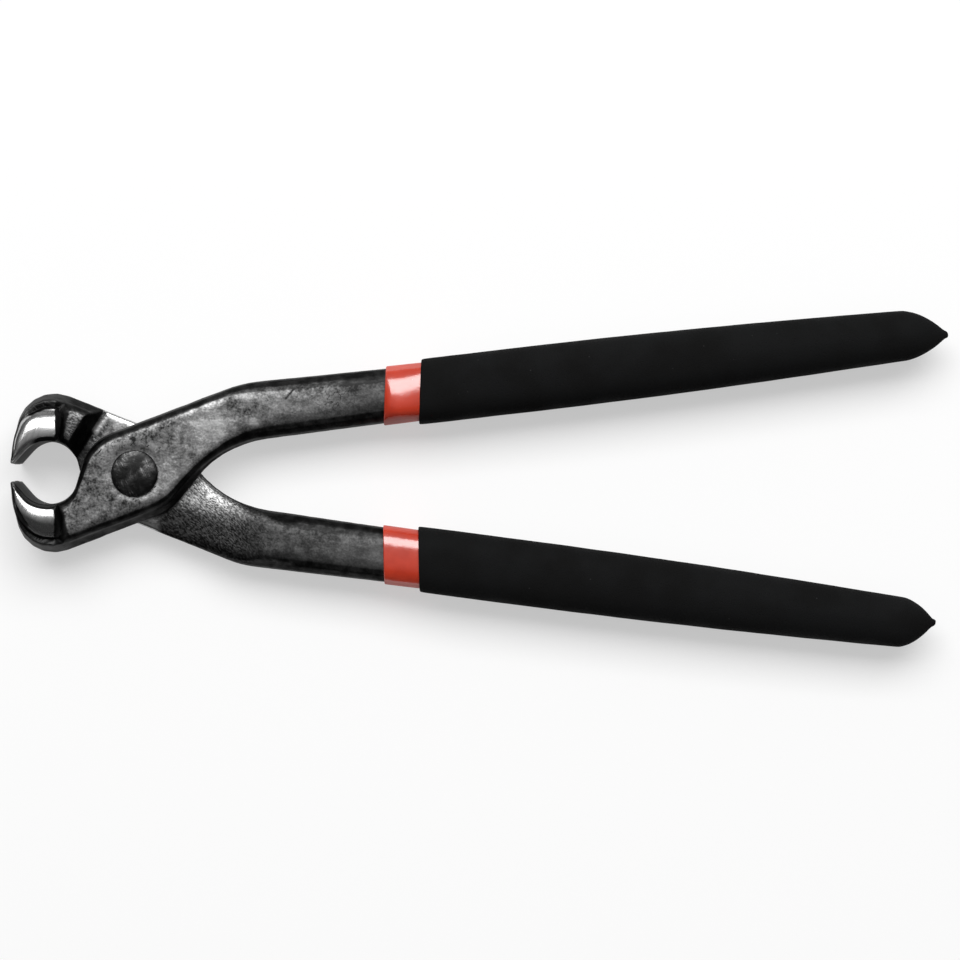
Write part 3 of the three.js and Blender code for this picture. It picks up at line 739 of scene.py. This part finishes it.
def mark_lever_zones(lever, side):
    """Where the forging was ground, milled, cut or rubbed, and where light and shade are painted."""
    at = Places(lever, side)
    ground, fall = ground_sides(at)
    wall, black_scale_and_shade, tip_face = jaw_walls(at, ground)
    seat, seat_painted_shade = lap_seat(at)
    edge_fall, edge_polish = lap_edges(at)
    neck = at.lap_side * rise(at.along, *NECK) * rise(at.along, *NECK_END)
    shelf = at.lap_side * rise(at.along, *SHELF) * (1 - ground) * (1 - seat)
    bowl_end = BOWL_END_BLACK * seat * rise(at.from_bowl, *BOWL_END)
    calm = sum(HANDLE_CALM * rise(at.along, *stretch) for stretch in HANDLE_CALM_FROM)
    lap_calm = at.lap_side * rise(at.along, *LAP_CALM_FROM) * rise(at.along, *LAP_CALM_END)
    pitted = PLATE_PITS + near(at.local, *PIT_CLUSTER) + HANDLE_PITS * rise(at.along, *HANDLE_PITS_FROM)
    back = at.jaw_side(*STRETCH_DEPTH) * rise(at.along, *JAW_BACK) * (at.along < JAW_BACK_END)

    shares = {
        # wear, with painted highlights and painted shade
        "wear_and_painted_light": at.outside * outside_wear_and_painted_light(at) + at.lap_side * lap_wear_and_painted_light(at, seat_painted_shade),
        "mottled": MOTTLING - calm - LAP_CALM * lap_calm,
        "pitted": np.clip(pitted, 0, 1),
        "crackled": at.outside * near(at.local, *CRACKED_PATCH),
        "gouge": at.outside * stroke(at.local, *GOUGE),
        "rubbed_flat": rise(at.flatness, *RUBBED_FLATNESS),
        # steep flanks, painted lighter as a reflection of the floor
        "flank": rise(at.flatness, *FLANK_FLATNESS),
        "ground_side": ground,
        "black_scale_and_shade": np.maximum(black_scale_and_shade, bowl_end),
        "tip_face": tip_face,
        "pebbled": np.maximum(np.maximum(neck, shelf), seat_painted_shade),
        "lap_seat": seat * (1 - neck) * (1 - seat_painted_shade),
        "seat_edge": edge_polish * seat * (1 - neck),
    }
    weights = {
        "jaw_side": ground,
        "ground_fall": np.clip(fall / DEEPEST_FALL, 0, 1),
        "jaw_back": back,
        "as_forged": np.clip(1 - ground - wall - seat, 0, 1),
        "lap_edge": edge_fall,
    }
    for name, share in shares.items():
        mark(lever, name, share)
    for name, weight in weights.items():
        hold(lever, name, weight)


def forged_lever(node, name, dip, side):
    """A forging with a fine skin, ground, rounded and roughened by its zones."""
    lever = merged_copy(node, name)
    finish_with(lever, "REMESH", mode="VOXEL", voxel_size=SKIN, use_smooth_shade=True)
    points, _ = points_and_normals(lever)
    hidden_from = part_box(dip)[0].x + SLEEVE_OVERLAP
    hidden = (points[:, 0] > hidden_from).astype(float)
    hold(lever, "inside_grip", hidden)
    kept = 1 - hidden.mean() * (1 - HIDDEN_SHARE)
    finish_with(lever, "DECIMATE", ratio=kept, vertex_group="inside_grip")
    mark_lever_zones(lever, side)
    smooth(lever, SKIN_ROUNDS)
    smooth(lever, FORGED_ROUNDS, "as_forged")
    push(lever, side * NECK_ROUNDING * MM, "lap_edge", "Z")
    smooth(lever, EDGE_ROUNDS, "lap_edge")
    push(lever, JAW_BACK_STRETCH, "jaw_back", "X")
    push(lever, -DEEPEST_FALL * MM, "ground_fall")
    smooth(lever, GROUND_ROUNDS, "jaw_side")
    roughen(lever, clouds("hammered", HAMMERED_SPACING, 2), HAMMERED, "as_forged")
    roughen(lever, clouds("scale", SCALE_SPACING), SCALE_ROUGHNESS, "as_forged")
    return lever


def thicken_sleeve(coat, grip):
    """Raises a low ridge on the part of a red coat that the black one leaves bare."""
    points, normals = points_and_normals(coat)
    along = points[:, 0]
    from_middle = np.abs(points[:, 1] - PIVOT[1])
    bare_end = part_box(grip)[0].x
    mouth = along.min()
    bare = (along > mouth) & (along < bare_end)
    inner = from_middle[bare].min()
    across = (from_middle - inner) / (from_middle[bare].max() - inner)
    ridge = rise(across, 0, CROWN_AT) * rise(across, 1, CROWN_AT)
    length = rise(along, mouth, mouth + MOUTH_FADE)
    length *= rise(along, bare_end + CROWN_FADE, bare_end - CROWN_FADE)
    hold(coat, "thick_run", ridge * length * rise(normals[:, 2], *ON_TOP))
    push(coat, SLEEVE_CROWN, "thick_run", "Z")
    smooth(coat, SLEEVE_ROUNDS, "thick_run")


def mark_steep_sides(coat):
    _, normals = points_and_normals(coat)
    mark(coat, "steep_side", rise(normals[:, 2], *STEEP))


def dipped_coat(node, name, waviness):
    coat = merged_copy(node, name)
    bpy.ops.object.mode_set(mode="EDIT")
    bpy.ops.mesh.select_all(action="SELECT")
    bpy.ops.mesh.tris_convert_to_quads(face_threshold=QUAD_ANGLE, shape_threshold=QUAD_ANGLE)
    bpy.ops.object.mode_set(mode="OBJECT")
    finish_with(coat, "SUBSURF", levels=COAT_LEVELS, render_levels=COAT_LEVELS)
    roughen(coat, clouds(name, COAT_WAVES, 2), waviness)
    return coat


def select_end_face(piece, direction):
    """Selects the flat face furthest up or down the rivet."""
    bpy.ops.mesh.select_all(action="DESELECT")
    bpy.ops.object.mode_set(mode="OBJECT")
    end = max(piece.data.polygons, key=lambda polygon: polygon.center.z * direction)
    end.select = True
    bpy.ops.object.mode_set(mode="EDIT")


def draw_end(rise_by, widen):
    """Pulls the selected face out along the rivet and widens or narrows it."""
    bpy.ops.mesh.extrude_region_move(TRANSFORM_OT_translate={"value": (0, 0, rise_by)})
    bpy.ops.transform.resize(value=(widen, widen, 1), center_override=PIVOT)


def headed_rivet(node, name):
    """A shank with a low crowned head on each end, measured off the CAD rivet."""
    points = np.array([vertex.co for vertex in frame["nodes"][node].data.vertices]) - PIVOT
    radii = np.hypot(points[:, 0], points[:, 1])
    heights = np.abs(points[:, 2])
    head_radius = radii.max()
    rim_heights = heights[radii > RIM_SHARE * head_radius]
    seat, rim = rim_heights.min(), rim_heights.max()
    crown = heights.max()
    on_shank = (heights < seat + LEVEL_TOLERANCE) & (radii < UNDER_HEAD_SHARE * head_radius)
    shank_radius = radii[on_shank].max()

    deselect()
    bpy.ops.mesh.primitive_cylinder_add(vertices=RIVET_SIDES, radius=shank_radius, depth=2 * seat,
                                        location=PIVOT)
    rivet = bpy.context.object
    rivet.name = name
    bpy.ops.object.transform_apply(location=True)
    bpy.ops.object.mode_set(mode="EDIT")
    bpy.ops.mesh.select_mode(type="FACE")
    for direction in (1, -1):
        select_end_face(rivet, direction)
        draw_end(0, head_radius / shank_radius)
        draw_end(direction * (rim - seat), 1)
        width = 1.0
        height = 0.0
        for step in range(1, CROWN_STEPS + 1):
            angle = CROWN_SWEEP * step / CROWN_STEPS
            narrower, higher = math.cos(angle), math.sin(angle)
            draw_end(direction * (crown - rim) * (higher - height), narrower / width)
            width, height = narrower, higher
        bpy.ops.mesh.inset(thickness=TOP_INSET * head_radius * width)
    bpy.ops.mesh.select_all(action="SELECT")
    bpy.ops.mesh.remove_doubles(threshold=MERGE_DISTANCE)
    bpy.ops.mesh.normals_make_consistent(inside=False)
    bpy.ops.object.mode_set(mode="OBJECT")
    finish_with(rivet, "BEVEL", width=RIVET_EDGE, segments=2, limit_method="ANGLE")
    finish_with(rivet, "SUBSURF", levels=2, render_levels=2)
    roughen(rivet, clouds("hammer_dents", DENT_SPACING), HAMMER_DENTS)
    return rivet


def make_tool():
    steel = forged_steel_finish()
    red = red_vinyl_finish()
    black = black_vinyl_finish()
    for side, lever, grip in ((1, "front", "upper"), (-1, "rear", "lower")):
        body = lever + "_half"
        forging = forged_lever(lever + "_lever", lever + "_forging", grip + "_red_dip", side)
        ready(forging, lever + "_lever", body, steel)
        red_coat = dipped_coat(grip + "_red_dip", grip + "_red_coat", RED_WAVINESS)
        if grip == "upper":
            thicken_sleeve(red_coat, grip + "_black_grip")
        mark_steep_sides(red_coat)
        ready(red_coat, grip + "_red_dip", body, red)
        black_coat = dipped_coat(grip + "_black_grip", grip + "_black_coat", BLACK_WAVINESS)
        ready(black_coat, grip + "_black_grip", body, black)
    rivet = headed_rivet("pivot_rivet", "hammered_rivet")
    ready(rivet, "pivot_rivet", "front_half", rivet_finish())


# Studio

def lay_floor():
    deselect()
    bpy.ops.mesh.primitive_plane_add(size=FLOOR_SIZE)
    floor = bpy.context.object
    floor.name = "floor"
    paint = Finish("floor_paint", Base_Color=grey(FLOOR_GREY), Roughness=1.0, Specular_IOR_Level=0.0)
    nodes, links = paint.tree.nodes, paint.tree.links
    ray = nodes.new("ShaderNodeLightPath").outputs
    seen = paint.sum(paint.sum(ray["Is Camera Ray"], ray["Is Glossy Ray"], "MAXIMUM"),
                     ray["Is Transmission Ray"], "MAXIMUM")
    white = nodes.new("ShaderNodeEmission")
    lit = nodes.new("ShaderNodeMixShader")
    links.new(paint.times(seen, FLOOR_GLOW), lit.inputs["Fac"])
    links.new(paint.shader.outputs["BSDF"], lit.inputs[1])
    links.new(white.outputs["Emission"], lit.inputs[2])
    links.new(lit.outputs["Shader"], nodes["Material Output"].inputs["Surface"])
    floor.data.materials.append(paint.material)


def hang_softbox():
    deselect()
    height = KEY_DISTANCE * math.cos(KEY_LEAN)
    reach = KEY_DISTANCE * math.sin(KEY_LEAN)
    bpy.ops.object.light_add(type="AREA", location=(0, reach, height), rotation=(-KEY_LEAN, 0, 0))
    softbox = bpy.context.object
    softbox.name = "softbox"
    softbox.data.shape = "RECTANGLE"
    softbox.data.size, softbox.data.size_y = KEY_SIZE
    softbox.data.energy = KEY_WATTS


def darken_room():
    world = bpy.data.worlds.new("studio")
    world.use_nodes = True
    nodes, links = world.node_tree.nodes, world.node_tree.links
    direction = nodes.new("ShaderNodeTexCoord")
    nearness = nodes.new("ShaderNodeVectorMath")
    nearness.operation = "DOT_PRODUCT"
    nearness.inputs[1].default_value = (0, math.sin(KEY_LEAN), math.cos(KEY_LEAN))
    fade = nodes.new("ShaderNodeMapRange")
    fade.inputs["From Min"].default_value = ROOM_FADE
    fade.inputs["To Min"].default_value = ROOM_DARKEST
    fade.inputs["To Max"].default_value = ROOM_BRIGHTEST
    links.new(direction.outputs["Generated"], nearness.inputs[0])
    links.new(nearness.outputs["Value"], fade.inputs["Value"])
    links.new(fade.outputs["Result"], nodes["Background"].inputs["Color"])
    bpy.context.scene.world = world


def set_camera():
    deselect()
    bpy.ops.object.camera_add(location=CAMERA_AT, rotation=(0, 0, CAMERA_ROLL))
    camera = bpy.context.object
    camera.data.lens = CAMERA_LENS
    bpy.context.scene.camera = camera
    bpy.context.scene.view_settings.view_transform = "Standard"


make_tool()
lay_floor()
hang_softbox()
darken_room()
set_camera()
